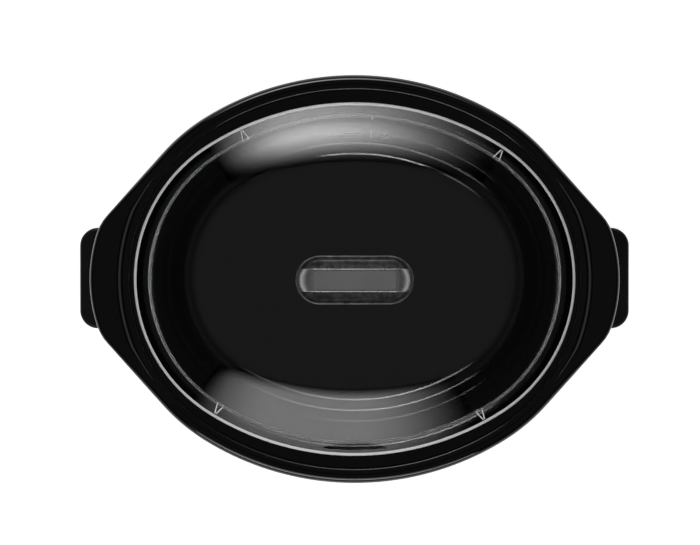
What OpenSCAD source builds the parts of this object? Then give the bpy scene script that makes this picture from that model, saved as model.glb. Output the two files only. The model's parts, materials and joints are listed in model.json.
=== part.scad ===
// Oval slow cooker: a drum-shaped base with a heated pan, a lift-out crock, a glass lid and a rotary switch.
// Z is up, X runs along the length and the switch faces -Y. The origin lies on the surface that the
// feet stand on, under the middle of the cooker.
//
// Every oval is built from four arcs, which meet along the long side of a 28 : 45 : 53 triangle. Its
// outlines at a distance d, outwards or inwards, share the same four centres, so a profile given as
// [d, z] points is swept round the oval in four turns.

/* [Crock] */
// Length of the rim, without the lifting ears
rim_length = 342; // [338:1:346]
// Depth of the rim, front to back
rim_depth = 291; // [288:1:294]
// Length over both lifting ears
ear_span = 378; // [374:1:382]
// Radius of each ear's outer edge
ear_tip_radius = 108; // [100:1:116]
// Radius of each ear's two corners
ear_corner_radius = 32; // [28:1:36]
// Direction that each ear's straight flank faces, from the X axis
ear_flank_angle = 42; // [40:1:44]
// Length of the mouth
mouth_length = 297; // [294:1:299]
// Depth of the mouth, front to back
mouth_depth = 238; // [235:1:240]
// Height of the rim's top above the table
rim_height = 185; // [182:1:188]
// Thickness of the crock's wall
crock_wall = 6.6; // [6:0.1:7.2]
// Slope of the crock's wall from upright
wall_draft = 5.5; // [5:0.5:6.5]
// Radius between the wall and the floor, inside
floor_radius = 8; // [6:1:12]

/* [Lid] */
// Length of the glass
lid_length = 315; // [313:1:316]
// Depth of the glass, front to back
lid_depth = 252; // [250:1:254]
// Thickness of the glass
glass_thickness = 4; // [3.5:0.1:4.5]
// Rise of the dome above the glass's flat edge
dome_rise = 23; // [18:1:28]
// Length of the handle
grip_length = 82.5; // [80:0.5:86]
// Width of the handle's dish
grip_width = 34; // [32:0.5:36]
// Width of the bar over the dish
bar_width = 16; // [14:0.5:18]
// Height of the bar's top above the dome
bar_height = 23; // [21:0.5:26]

/* [Base] */
// Distance that the housing stands back under the rim
housing_setback = 6; // [5:0.5:7]
// Height of the black skirt's upper edge
skirt_height = 32; // [30:1:34]
// Height of the rubber feet
foot_height = 8; // [6:0.5:9]
// Length over both carrying handles
handle_span = 410; // [404:1:416]
// Width of a carrying handle, front to back
handle_width = 78; // [72:1:84]
// Height of the carrying handles' top
handle_height = 125; // [122:1:128]

/* [Control] */
// Height of the knob's axis
knob_height = 59; // [58:0.5:60]
// Diameter of the knob
knob_diameter = 38; // [34:1:39]
// Number of switch positions
switch_positions = 4; // [2:1:4]
// Angle between two switch positions
switch_step = 60; // [50:5:60]
// Bore of the cord's gland
gland_bore = 7.4; // [7:0.1:8]

/* [Hidden] */
$fn = 96;

// Small sizes shared by several pieces
far = 999;
cut = 1;
sheet = 1;

// Ovals, each as [half length, half depth]
rim = [rim_length / 2, rim_depth / 2];
mouth = [mouth_length / 2, mouth_depth / 2];
glass = [lid_length / 2, lid_depth / 2];

// Sides of the triangle that joins the middle, an end arc's centre and a side arc's centre
blend = [28, 45, 53];
// Size of that triangle in an oval
function blend_scale(o) = (o[0] - o[1]) / (blend[0] + blend[1] - blend[2]);
// Distance from the middle to the centre of an oval's end arc, and that arc's radius
function end_centre(o) = blend[0] * blend_scale(o);
function end_radius(o) = o[0] - end_centre(o);
// Distance from the middle to the centre of an oval's side arc, and that arc's radius
function side_centre(o) = blend[1] * blend_scale(o);
function side_radius(o) = o[1] + side_centre(o);
// A number rounded to a thousandth of a millimetre
function fine(v) = round(v * 1000) / 1000;
// Points along an arc from angle a0 to angle a1, in n steps
function arc(x, y, r, a0, a1, n = 6) =
    [for (i = [0:n]) let (a = a0 + (a1 - a0) * i / n) [x + r * cos(a), y + r * sin(a)]];

// Heights of the crock, from the rim down
ledge_z = rim_height - 7;
flange_z = rim_height - 18;
floor_z = 52;
crock_foot_z = 42;
slope = tan(wall_draft);
flange_inset = (rim_length - mouth_length) / 2 - 0.5;
step_inset = 10.7;

// Distance at height z of a wall that leans with the crock's and is at distance d at the ledge
function wall_d(d, z) = d - (ledge_z - z) * slope;
// Centre [d, z] of the arc of radius r between such a wall and a floor at height z
function corner(d, z, r) = [wall_d(d, z + r - r * sin(wall_draft)) - r * cos(wall_draft), z + r];

outer_radius = 18;
inner_corner = corner(0, floor_z, floor_radius);
outer_corner = corner(crock_wall, crock_foot_z, outer_radius);
foot_ring_d = outer_corner[0] + 5.5;

// Ears: centre of the tip's arc and of the upper corner
tip_x = ear_span / 2 - ear_tip_radius;
ear_reach = ear_tip_radius - ear_corner_radius;
ear_blend = ear_flank_angle - acos((end_centre(rim) * cos(ear_flank_angle) + end_radius(rim) - ear_corner_radius
    - tip_x * cos(ear_flank_angle)) / ear_reach);
ear_corner_x = tip_x + ear_reach * cos(ear_blend);
ear_corner_y = ear_reach * sin(ear_blend);
flank_sink = 0.5;

// Heater pan: a gap round the crock, and a flange that hangs on the housing
pan_gap = 3;
pan_wall = 0.9;
pan_radius = 18;
pan_flange_z = flange_z - 5;
pan_flange_d = 14.5;
pan_floor_z = 38;
pan_d = crock_wall + pan_gap;
pan_outer_d = pan_d + pan_wall / cos(wall_draft);
pan_corner = corner(pan_d, pan_floor_z, pan_radius);

// Base
housing_d = -housing_setback;
ring_d = 10;
front_y = -(rim[1] - housing_setback);
base_reach_y = 153.5;
stud_radius = 2.5;
shield_z = 24;
foot_x = 105;
foot_y = 72;
screw_x = 118;
screw_y = 40;
band_low_z = 76;
band_high_z = 112;
band_thickness = 2.5;
band_mid_z = (band_low_z + band_high_z) / 2;
// Distance of the band's outside from the mouth's oval at height z
function band_out(z) = wall_d(pan_outer_d, z) + band_thickness;
band_back_y = mouth[1] + band_out(band_mid_z);

// Carrying handles
handle_corner = 15;
handle_low_z = handle_height - 17;
handle_end_x = rim[0] - 10;
trim_width = 2.2;
handle_screw_y = 20;
handle_screw_z = handle_height - 9;

// Switch
switch_front_y = front_y + 3;
switch_depth = 12;
switch_size = 24;
shaft_radius = 3;
shaft_clearance = 0.05;
knob_back_y = front_y - 4.2;
panel_thickness = 2;
panel_low_z = 37;
panel_high_z = 81;
panel_half = 62;
lamp_x = 42;
boss_height = 3.2;
mark_radius = knob_diameter / 2 + 1.3;

// Cord gland
gland_z = 49;
gland_radius = 7.5;
housing_back_y = rim[1] - housing_setback;

// Terminal block and leads
terminal_y = 92;
terminal_step = 13;
lead_z = foot_height + 7;
lead_y = -121;
lead_radius = 1.2;

// Lid
dome_z = ledge_z + glass_thickness + dome_rise;
gasket_z = dome_z + 1;
dish_z = gasket_z + 7.5;
dish_floor_z = gasket_z + 3.5;
bar_z = dome_z + bar_height;
lid_screw_x = 34;
lid_flange = 4.5;
dome_flat = 10;
dome_reach = end_radius(glass) - lid_flange - dome_flat;

// ---- Shapes that several pieces use ----

// Part of the plan that an oval's end arc (on side -1 or 1) sweeps
module end_region(o, side) {
    reach = 12;
    corner = [end_centre(o), 0];
    half = [for (y = [-1, 1]) corner + reach * [blend[0], y * blend[1]]];
    polygon([for (p = [corner, half[0], half[1]]) [side * p[0], p[1]]]);
}

// Part of the plan that an oval's side arc (on side -1 or 1) sweeps
module side_region(o, side) {
    reach = 12;
    corner = [end_centre(o), 0];
    tip = corner + reach * [blend[0], blend[1]];
    polygon([for (p = [corner, tip, [-tip[0], tip[1]], -corner]) [p[0], side * p[1]]]);
}

// Profile of [d, z] points swept round the oval; points at d = -far close it over the middle
module oval_sweep(o, points) {
    for (side = [-1, 1]) {
        intersection() {
            translate([side * end_centre(o), 0, 0])
                rotate_extrude()
                    polygon([for (p = points) [max(0, end_radius(o) + fine(p[0])), fine(p[1])]]);
            linear_extrude(far / 2)
                end_region(o, side);
        }
        intersection() {
            translate([0, -side * side_centre(o), 0])
                rotate_extrude()
                    polygon([for (p = points) [max(0, side_radius(o) + fine(p[0])), fine(p[1])]]);
            linear_extrude(far / 2)
                side_region(o, side);
        }
    }
}

// Flat oval slab between two heights, its edge at distance d
module oval_slab(o, d, z0, z1) {
    oval_sweep(o, [[-far, z0], [d, z0], [d, z1], [-far, z1]]);
}

// Stadium outline, grown by g
module stadium(length, width, g = 0) {
    for (side = [-1, 1])
        translate([side * (length - width) / 2, 0])
            circle(width / 2 + g);
    square([length - width, width + 2 * g], center = true);
}

// Cylinder along Y from y0 to y1
module rod_y(r, x, y0, y1, z) {
    translate([x, y1, z])
        rotate([90, 0, 0])
            cylinder(r = r, h = y1 - y0);
}

// Cylinder along X from x0 to x1
module rod_x(r, x0, x1, y, z) {
    translate([x0, y, z])
        rotate([0, 90, 0])
            cylinder(r = r, h = x1 - x0);
}

// Cylinder along Z from z0 to z1
module rod_z(r, x, y, z0, z1) {
    translate([x, y, z0])
        cylinder(r = r, h = z1 - z0);
}

// Insulated lead through a list of points, with each run along one axis and a ball at each bend
module lead(points, r) {
    for (i = [0:len(points) - 2]) {
        run = points[i + 1] - points[i];
        low = [for (k = [0:2]) min(points[i][k], points[i + 1][k])];
        translate(low)
            rotate(abs(run[0]) > 0 ? [0, 90, 0] : abs(run[1]) > 0 ? [-90, 0, 0] : [0, 0, 0])
                cylinder(r = r, h = norm(run));
    }
    for (i = [1:len(points) - 2])
        translate(points[i])
            sphere(r = 1.2 * r);
}

// ---- Crock ----

// Upper half of a lifting ear's outline, drawn inwards by s, from the tip to the rim
function ear_half(s) =
    let (facing = [cos(ear_flank_angle), sin(ear_flank_angle)])
    concat(
        arc(tip_x, 0, ear_tip_radius - s, 0.1 * ear_blend, 0.9 * ear_blend, 4),
        arc(ear_corner_x, ear_corner_y, ear_corner_radius - s, ear_blend, ear_flank_angle, 4),
        [[end_centre(rim), 0] + (end_radius(rim) - flank_sink - s) * facing]);

module ear_outline(s) {
    half = ear_half(s);
    last = len(half) - 1;
    lower = [for (i = [0:last]) [half[last - i][0], -half[last - i][1]]];
    polygon(concat(lower, half, [[end_centre(rim), 0]]));
}

module ear() {
    ear_top_z = rim_height - 3;
    steps = [[flange_z, 3], [flange_z + 1.5, 1], [flange_z + 3.5, 0], [ear_top_z - 4, 1], [ear_top_z - 1.5, 3]];
    for (i = [0:len(steps) - 2])
        translate([0, 0, steps[i][0]])
            linear_extrude(steps[i + 1][0] - steps[i][0])
                ear_outline(steps[i][1]);
    translate([0, 0, ear_top_z - 1.5])
        linear_extrude(1.5)
            ear_outline(3);
}

// Wall and floor of the crock, as one profile
crock_shell = concat(
    [[-far, crock_foot_z + 2], [foot_ring_d - 9, crock_foot_z + 2], [foot_ring_d - 8, crock_foot_z],
        [foot_ring_d, crock_foot_z]],
    arc(outer_corner[0], outer_corner[1], outer_radius, -70, -wall_draft, 4),
    [[crock_wall, ledge_z], [1.6, ledge_z], [0, ledge_z - 2]],
    arc(inner_corner[0], inner_corner[1], floor_radius, -wall_draft, -90, 5),
    [[-far, floor_z]]);

// Rim round the mouth: a lip outside a ledge for the lid
crock_rim = concat(
    [[-flange_inset, flange_z]],
    arc(-5, flange_z + 5, 5, -90, 0, 3),
    arc(-5, rim_height - 5, 5, 0, 90, 3),
    [[-step_inset + 1.4, rim_height], [-step_inset, rim_height - 1], [-step_inset, ledge_z],
        [-flange_inset, ledge_z]]);

module crock() {
    color("black") {
        oval_sweep(mouth, crock_shell);
        oval_sweep(rim, crock_rim);
        for (side = [0, 1])
            mirror([side, 0, 0])
                difference() {
                    ear();
                    oval_slab(rim, -step_inset + 4, flange_z - cut, rim_height);
                }
    }
}

// ---- Lid ----

// Height of the dome's top at distance d inside the glass's edge
function dome_top(d) = let (s = (-d - lid_flange) / dome_reach)
    ledge_z + glass_thickness + dome_rise * (2 * s - s * s);

module lid_glass() {
    edge = glass_thickness / 2;
    steps = 6;
    top = [for (i = [0:steps]) let (d = -lid_flange - dome_reach * i / steps) [d, dome_top(d)]];
    under = [for (i = [0:steps - 1]) top[steps - i] - [0.5, glass_thickness]];
    skirt = [[-1.5, ledge_z + 3], [-1.8, ledge_z - 4], [-4.4, ledge_z - 4], [-5, ledge_z + 5]];
    notch_turn = 59;
    notch_r = side_radius(mouth) - 3;
    color("lightgray", 0.35)
        difference() {
            union() {
                oval_sweep(glass, concat([[-far, top[steps][1] - glass_thickness]], under,
                    [[-lid_flange - 3, ledge_z]], arc(-edge, ledge_z + edge, edge, -90, 90, 4), top,
                    [[-far, top[steps][1]]]));
                difference() {
                    oval_sweep(mouth, skirt);
                    for (x = [-1, 1], y = [-1, 1])
                        translate([x * notch_r * cos(notch_turn), y * (notch_r * sin(notch_turn)
                            - side_centre(mouth)), ledge_z - 3])
                            rotate([0, 0, x * y * notch_turn])
                                cube([12, 9, 5], center = true);
                }
            }
            for (x = [-1, 1])
                rod_z(3, x * lid_screw_x, 0, dome_z - 2 * glass_thickness, dome_z + cut);
        }
}

module handle_gasket() {
    color("dimgray")
        difference() {
            translate([0, 0, dome_z])
                linear_extrude(gasket_z - dome_z)
                    stadium(grip_length, grip_width, -1.5);
            for (x = [-1, 1])
                rod_z(3, x * lid_screw_x, 0, dome_z - cut, gasket_z + cut);
        }
}

module handle_dish() {
    wall = 1.6;
    color([0.12, 0.12, 0.13])
        difference() {
            translate([0, 0, gasket_z])
                linear_extrude(dish_z - gasket_z)
                    stadium(grip_length, grip_width);
            translate([0, 0, dish_floor_z])
                linear_extrude(dish_z)
                    stadium(grip_length, grip_width, -wall);
            for (x = [-1, 1])
                rod_z(3, x * lid_screw_x, 0, gasket_z - cut, dish_z);
        }
}

// Bar's side outline: two legs that rise steeply to a flat top
module bar_outline() {
    leg = grip_length / 2 - 1.8;
    low = dish_floor_z;
    polygon(concat(
        [[-leg, low]],
        arc(-leg + 13, bar_z - 13, 13, 180, 90, 6),
        arc(leg - 13, bar_z - 13, 13, 90, 0, 6),
        [[leg, low], [leg - 13, low]],
        arc(leg - 19, bar_z - 12, 6, 0, 90, 4),
        arc(-leg + 19, bar_z - 12, 6, 90, 180, 4),
        [[-leg + 13, low]]));
}

module handle_bar() {
    color([0.3, 0.3, 0.31])
        difference() {
            intersection() {
                rotate([90, 0, 0])
                    linear_extrude(bar_width, center = true)
                        bar_outline();
                linear_extrude(bar_z + cut)
                    stadium(grip_length, grip_width, -1.8);
            }
            translate([0, 0, bar_z - 0.6])
                linear_extrude(2)
                    square([58, bar_width - 3], center = true);
            for (x = [-1, 1])
                rod_z(2, x * lid_screw_x, 0, dish_floor_z - cut, dish_floor_z + 10);
        }
}

module handle_inlay() {
    color([0.42, 0.42, 0.43])
        translate([0, 0, bar_z - 0.6])
            linear_extrude(0.6)
                square([58, bar_width - 3], center = true);
}

module lid_screws() {
    color("silver")
        for (x = [-1, 1]) {
            rod_z(2, x * lid_screw_x, 0, dome_z - glass_thickness - 2, dish_floor_z + 9);
            difference() {
                rod_z(4, x * lid_screw_x, 0, dome_z - glass_thickness - 3.6, dome_z - glass_thickness - 1);
                translate([x * lid_screw_x, 0, dome_z - glass_thickness - 3.6])
                    for (turn = [0, 90])
                        rotate([0, 0, turn])
                            cube([4.6, 1, 2], center = true);
            }
        }
}

module lid_washers() {
    color("silver")
        for (x = [-1, 1])
            difference() {
                rod_z(7, x * lid_screw_x, 0, dome_z - glass_thickness - 1, dome_z - glass_thickness);
                rod_z(2, x * lid_screw_x, 0, dome_z - glass_thickness - 2, dome_z);
            }
}

// ---- Base ----

module base_pan() {
    wall = 2.5;
    skirt = concat([[-30, foot_height]], arc(-30, foot_height + 24, 24, -90, -10, 6));
    color([0.1, 0.1, 0.1])
        difference() {
            union() {
                difference() {
                    oval_sweep(rim, concat([[-far, foot_height]], skirt,
                        [[housing_d, skirt_height - 1], [housing_d, skirt_height], [-far, skirt_height]]));
                    oval_sweep(rim, concat([[-far, foot_height + wall]],
                        arc(-30, foot_height + 24, 24 - wall, -90, -10, 6),
                        [[housing_d - wall, skirt_height - 1], [housing_d - wall, skirt_height + cut],
                            [-far, skirt_height + cut]]));
                }
                // Spigot inside the housing's lower edge
                oval_sweep(rim, [[housing_d - wall - sheet, skirt_height - 6], [housing_d - 1.5, skirt_height - 4],
                    [housing_d - 1.5, skirt_height + 5], [housing_d - wall - sheet, skirt_height + 5]]);
                rod_z(9, 0, 0, foot_height, shield_z - 4);
                for (x = [-1, 1], y = [-1, 1])
                    rod_z(6, x * screw_x, y * screw_y, foot_height, shield_z);
            }
            rod_z(stud_radius + 0.5, 0, 0, 0, far / 10);
            rod_z(7, 0, 0, foot_height - cut, foot_height + 6);
            for (x = [-1, 1], y = [-1, 1]) {
                rod_z(2.2, x * screw_x, y * screw_y, 0, far / 10);
                rod_z(4.5, x * screw_x, y * screw_y, 0, foot_height + 4);
                rod_z(4, x * foot_x, y * foot_y, 0, foot_height + 10);
            }
            // Air slots
            for (x = [-1, 1], i = [0:5])
                translate([x * (34 + 9 * i), 0, foot_height])
                    cube([3.5, 64, 12], center = true);
        }
}

module foot(x, y) {
    color([0.18, 0.18, 0.18])
        translate([x, y, 0]) {
            rotate_extrude()
                polygon([[0, 0], [8, 0], [9.5, 1.5], [10, foot_height], [0, foot_height]]);
            translate([0, 0, foot_height])
                cylinder(r = 4, h = 2.5);
            translate([0, 0, foot_height + 2.5])
                cylinder(r1 = 5.2, r2 = 3.4, h = 3);
        }
}

module base_screws() {
    color("silver")
        for (x = [-1, 1], y = [-1, 1]) {
            rod_z(1.9, x * screw_x, y * screw_y, foot_height + 3, shield_z + 4);
            rod_z(4, x * screw_x, y * screw_y, foot_height + 1.6, foot_height + 4);
        }
}

module housing() {
    color("silver")
        difference() {
            oval_sweep(rim, [[housing_d - sheet, skirt_height], [housing_d, skirt_height],
                [housing_d, flange_z - 4], [housing_d - sheet, flange_z - 4]]);
            rod_y(5.2, 0, front_y - 5, front_y + 5, knob_height);
            rod_y(3.2, lamp_x, front_y - 5, front_y + 12, knob_height);
            rod_y(gland_radius + 0.2, 0, housing_back_y - 5, housing_back_y + 5, gland_z);
            for (x = [-1, 1]) {
                rod_y(1.5, x * (panel_half - 6), front_y - 5, front_y + 20, knob_height);
                for (y = [-1, 1])
                    rod_x(2.2, x * rim[0] - 15, x * rim[0] + 15, y * handle_screw_y, handle_screw_z);
            }
        }
}

module top_ring() {
    color([0.1, 0.1, 0.1])
        difference() {
            oval_sweep(rim, [[-far, flange_z - 4], [housing_d, flange_z - 4], [housing_d, flange_z - 9],
                [housing_d + 1.6, flange_z - 9], [housing_d + 1.6, flange_z - 1], [housing_d + 0.6, flange_z],
                [-far, flange_z]]);
            oval_slab(mouth, ring_d, flange_z - 5, flange_z + cut);
        }
}

module heater_pan() {
    color("gainsboro")
        oval_sweep(mouth, concat(
            [[-far, pan_floor_z - pan_wall]],
            arc(pan_corner[0], pan_corner[1], pan_radius + pan_wall, -90, -wall_draft, 4),
            [[wall_d(pan_outer_d, pan_flange_z), pan_flange_z], [pan_flange_d, pan_flange_z],
                [pan_flange_d, pan_flange_z + sheet], [wall_d(pan_d, pan_flange_z + sheet), pan_flange_z + sheet]],
            arc(pan_corner[0], pan_corner[1], pan_radius, -wall_draft, -90, 4),
            [[-far, pan_floor_z]]));
}

module heater_band() {
    inside = 0.05 - band_thickness;
    color([0.55, 0.5, 0.42])
        difference() {
            oval_sweep(mouth, [[band_out(band_low_z) + inside, band_low_z], [band_out(band_low_z), band_low_z],
                [band_out(band_high_z), band_high_z], [band_out(band_high_z) + inside, band_high_z]]);
            translate([-5, 0, band_low_z - cut])
                cube([10, far / 4, band_high_z]);
        }
}

// Frame of the clamp: on the band's back, tilted with the pan's wall
module at_clamp() {
    translate([0, band_back_y, band_mid_z])
        rotate([-wall_draft, 0, 0])
            children();
}

module band_clamp() {
    ear_height = 18;
    color("silver")
        at_clamp()
            for (side = [0, 1])
                mirror([side, 0, 0])
                    difference() {
                        translate([5, 0, -ear_height / 2])
                            cube([14, 10, ear_height]);
                        translate([6.2, 1.2, -ear_height])
                            cube([20, 20, 2 * ear_height]);
                        rod_x(2, 0, 10, 6, 0);
                    }
}

module clamp_screw() {
    color("silver")
        at_clamp() {
            rod_x(1.9, -10, 8, 6, 0);
            rod_x(3.2, 6.2, 8.6, 6, 0);
            translate([-9, 6, 0])
                rotate([0, 90, 0])
                    cylinder(r = 3.6, h = 2.8, $fn = 6);
        }
}

module heat_shield() {
    color("gainsboro")
        difference() {
            oval_slab(rim, -38, shield_z, shield_z + sheet);
            rod_z(stud_radius + 0.5, 0, 0, 0, far / 10);
            for (x = [-1, 1], y = [-1, 1])
                rod_z(2.2, x * screw_x, y * screw_y, 0, far / 10);
        }
}

module center_stud() {
    color("silver") {
        rod_z(stud_radius, 0, 0, foot_height + 2, pan_floor_z - 3);
        rod_z(9, 0, 0, pan_floor_z - 3, pan_floor_z - pan_wall);
    }
}

module center_washer() {
    color("silver")
        difference() {
            rod_z(6.5, 0, 0, foot_height + 4.8, foot_height + 6);
            rod_z(stud_radius, 0, 0, 0, far / 10);
        }
}

module center_nut() {
    color("silver")
        difference() {
            translate([0, 0, foot_height + 1.2])
                cylinder(r = 4.6, h = 3.6, $fn = 6);
            rod_z(stud_radius, 0, 0, 0, far / 10);
        }
}

module thermal_fuse() {
    color("tan") {
        rod_x(2, -75, -63, 0, pan_floor_z - 4);
        rod_x(0.6, -85, -53, 0, pan_floor_z - 4);
    }
}

module fuse_clip() {
    color("silver")
        difference() {
            translate([-73, -6, pan_floor_z - 7])
                cube([8, 12, 6.1]);
            rod_x(2.05, -80, -60, 0, pan_floor_z - 4);
            translate([-80, -4.9, pan_floor_z - 8])
                cube([20, 9.8, 3]);
        }
}

// ---- Carrying handles ----

// Outline of a right-hand handle, drawn inwards by s
module handle_outline(s) {
    corner_x = handle_span / 2 - handle_corner;
    corner_y = handle_width / 2 - handle_corner;
    for (y = [-1, 1])
        translate([corner_x, y * corner_y])
            circle(handle_corner - s);
    translate([handle_end_x, -corner_y])
        square([handle_span / 2 - s - handle_end_x, 2 * corner_y]);
    translate([handle_end_x, -handle_width / 2 + s])
        square([corner_x - handle_end_x, handle_width - 2 * s]);
}

module carrying_handle(side) {
    color([0.1, 0.1, 0.1])
        mirror([side, 0, 0])
            difference() {
                translate([0, 0, handle_low_z])
                    linear_extrude(handle_height - handle_low_z)
                        handle_outline(trim_width);
                // Finger hollow, open below
                translate([rim[0] - housing_setback + 8, -handle_width / 2 + 8, handle_low_z - cut])
                    cube([handle_span / 2 - rim[0] + housing_setback - 15, handle_width - 16, 13]);
                oval_slab(rim, housing_d, handle_low_z - cut, handle_height + cut);
                for (y = [-1, 1])
                    rod_x(2, rim[0] - 20, rim[0] + 7, y * handle_screw_y, handle_screw_z);
            }
}

module handle_trim(side) {
    color("silver")
        mirror([side, 0, 0])
            difference() {
                translate([0, 0, handle_low_z + 2])
                    linear_extrude(handle_height - handle_low_z - 3)
                        difference() {
                            handle_outline(0);
                            handle_outline(trim_width);
                            translate([0, -handle_width])
                                square([handle_end_x + 5, 2 * handle_width]);
                        }
                oval_slab(rim, housing_d, handle_low_z - cut, handle_height + cut);
            }
}

module handle_screws(side) {
    head_x = rim[0] - housing_setback - sheet - 2.6;
    color("silver")
        mirror([side, 0, 0])
            for (y = [-1, 1]) {
                rod_x(2, head_x - 1, rim[0] + 6, y * handle_screw_y, handle_screw_z);
                rod_x(4, head_x - 2.4, head_x, y * handle_screw_y, handle_screw_z);
            }
}

// ---- Control ----

module control_panel() {
    color([0.1, 0.1, 0.1])
        difference() {
            union() {
                intersection() {
                    oval_sweep(rim, [[housing_d, panel_low_z], [housing_d + panel_thickness - 0.7, panel_low_z],
                        [housing_d + panel_thickness, panel_low_z + 1],
                        [housing_d + panel_thickness, panel_high_z - 1],
                        [housing_d + panel_thickness - 0.7, panel_high_z], [housing_d, panel_high_z]]);
                    translate([-panel_half, -far, panel_low_z])
                        cube([2 * panel_half, far, panel_high_z - panel_low_z]);
                }
                difference() {
                    rod_y(mark_radius + 1.3, 0, front_y - boss_height, front_y + 4, knob_height);
                    oval_slab(rim, housing_d, 0, far / 5);
                }
            }
            rod_y(5.2, 0, front_y - 8, front_y + 8, knob_height);
            rod_y(9, 0, front_y - 8, front_y - 1.8, knob_height);
            rod_y(3.2, lamp_x, front_y - 8, front_y + 12, knob_height);
            for (x = [-1, 1])
                rod_y(1.5, x * (panel_half - 6), front_y - 5, front_y + 20, knob_height);
        }
}

// Y of the housing's front face at distance x from the middle
function face_y(x) = side_centre(rim) - sqrt(pow(side_radius(rim) + housing_d, 2) - x * x);

module position_marks() {
    color("white")
        for (i = [0:switch_positions - 1])
            rod_y(0.7, -mark_radius * cos(i * switch_step), front_y - boss_height - 0.3,
                front_y - boss_height, knob_height + mark_radius * sin(i * switch_step));
}

module panel_rivets() {
    color("silver")
        for (x = [-1, 1]) {
            rod_y(1.5, x * (panel_half - 6), face_y(panel_half - 6) - panel_thickness + 0.6,
                face_y(panel_half - 6) + 5, knob_height);
            rod_y(3, x * (panel_half - 6), face_y(panel_half - 6) + 3.6, face_y(panel_half - 6) + 5, knob_height);
        }
}

module switch_body() {
    color([0.75, 0.72, 0.6])
        difference() {
            union() {
                translate([-switch_size / 2, switch_front_y, knob_height - switch_size / 2])
                    cube([switch_size, switch_depth, switch_size]);
                rod_y(5, 0, front_y - 3.6, switch_front_y, knob_height);
            }
            rod_y(shaft_radius + shaft_clearance, 0, front_y - 8, switch_front_y + 8, knob_height);
        }
}

module switch_nut() {
    color("silver")
        difference() {
            translate([0, front_y - 1.8, knob_height])
                rotate([90, 0, 0])
                    cylinder(r = 7.6, h = 1.6, $fn = 6);
            rod_y(5, 0, front_y - 8, front_y, knob_height);
        }
}

module switch_shaft() {
    color("silver")
        rod_y(shaft_radius, 0, -base_reach_y + 2.5, switch_front_y + 6, knob_height);
}

module knob() {
    front = -base_reach_y;
    radius = knob_diameter / 2;
    color([0.1, 0.1, 0.1])
        difference() {
            translate([0, knob_back_y, knob_height])
                rotate([90, 0, 0])
                    rotate_extrude()
                        polygon([[0, 0], [radius, 0], [radius, 2], [radius - 1.2, knob_back_y - front - 1],
                            [radius - 2.4, knob_back_y - front], [0, knob_back_y - front]]);
            rod_y(shaft_radius, 0, front + 2.5, knob_back_y + cut, knob_height);
            difference() {
                rod_y(radius - 4, 0, front + 3.5, knob_back_y + cut, knob_height);
                rod_y(shaft_radius + 2, 0, front + 1, knob_back_y - 2, knob_height);
            }
            // Finger flutes round the rim
            for (i = [0:11])
                translate([0, front - cut, knob_height])
                    rotate([0, i * 30, 0])
                        translate([radius + 0.3, 0, 0])
                            rotate([-90, 0, 0])
                                cylinder(r = 1.4, h = 7, $fn = 24);
            translate([-radius, front - cut, knob_height - 0.8])
                cube([radius - 5, 1.6, 1.6]);
        }
}

module knob_pointer() {
    radius = knob_diameter / 2;
    color("white")
        translate([-radius + 1.9, -base_reach_y, knob_height - 0.8])
            cube([radius - 6.9, 0.6, 1.6]);
}

module lamp_lens() {
    color("orange")
        difference() {
            union() {
                rod_y(3.1, lamp_x, face_y(lamp_x) - 3, face_y(lamp_x) + 3, knob_height);
                rod_y(4.4, lamp_x, face_y(lamp_x) - 4.4, face_y(lamp_x) - 3, knob_height);
            }
            rod_y(2.2, lamp_x, face_y(lamp_x) - 2.6, face_y(lamp_x) + 4, knob_height);
        }
}

module lamp_body() {
    color("gold") {
        rod_y(2.1, lamp_x, face_y(lamp_x) - 2, face_y(lamp_x) + 4, knob_height);
        rod_y(2.6, lamp_x, face_y(lamp_x) + 4, face_y(lamp_x) + 8, knob_height);
    }
}

// ---- Mains side ----

module cord_gland() {
    color([0.12, 0.12, 0.12])
        difference() {
            union() {
                rod_y(gland_radius, 0, housing_back_y - 11, housing_back_y + 1, gland_z);
                rod_y(11, 0, housing_back_y + 0.1, housing_back_y + 3, gland_z);
                translate([0, base_reach_y, gland_z])
                    rotate([90, 0, 0])
                        cylinder(r1 = 6, r2 = 8, h = base_reach_y - housing_back_y - 2);
            }
            rod_y(gland_bore / 2, 0, housing_back_y - 20, base_reach_y + cut, gland_z);
        }
}

module gland_nut() {
    color("silver")
        difference() {
            translate([0, housing_back_y - sheet - 0.4, gland_z])
                rotate([90, 0, 0])
                    cylinder(r = 11, h = 4, $fn = 6);
            rod_y(gland_radius, 0, 0, far / 4, gland_z);
        }
}

module terminal_block() {
    color("ivory")
        difference() {
            translate([-terminal_step - 7, terminal_y - 6, foot_height + 2.5])
                cube([2 * terminal_step + 14, 12, 11]);
            for (i = [-1:1]) {
                rod_y(lead_radius, i * terminal_step, terminal_y - 7, terminal_y + 7, lead_z);
                rod_z(1.5, i * terminal_step, terminal_y, lead_z, foot_height + 20);
            }
        }
}

module terminal_screws() {
    color("gold")
        for (i = [-1:1])
            rod_z(1.5, i * terminal_step, terminal_y, lead_z + lead_radius, foot_height + 13);
}

module switch_lead() {
    color("saddlebrown")
        lead([[-terminal_step, terminal_y, lead_z], [-terminal_step, lead_y, lead_z],
            [-terminal_step, lead_y, knob_height - 4],
            [-terminal_step, switch_front_y + switch_depth, knob_height - 4]], lead_radius);
}

module lamp_lead() {
    color("firebrick")
        lead([[terminal_step, terminal_y, lead_z], [terminal_step, lead_y, lead_z], [lamp_x, lead_y, lead_z],
            [lamp_x, lead_y, knob_height], [lamp_x, face_y(lamp_x) + 8, knob_height]], lead_radius);
}

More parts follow.
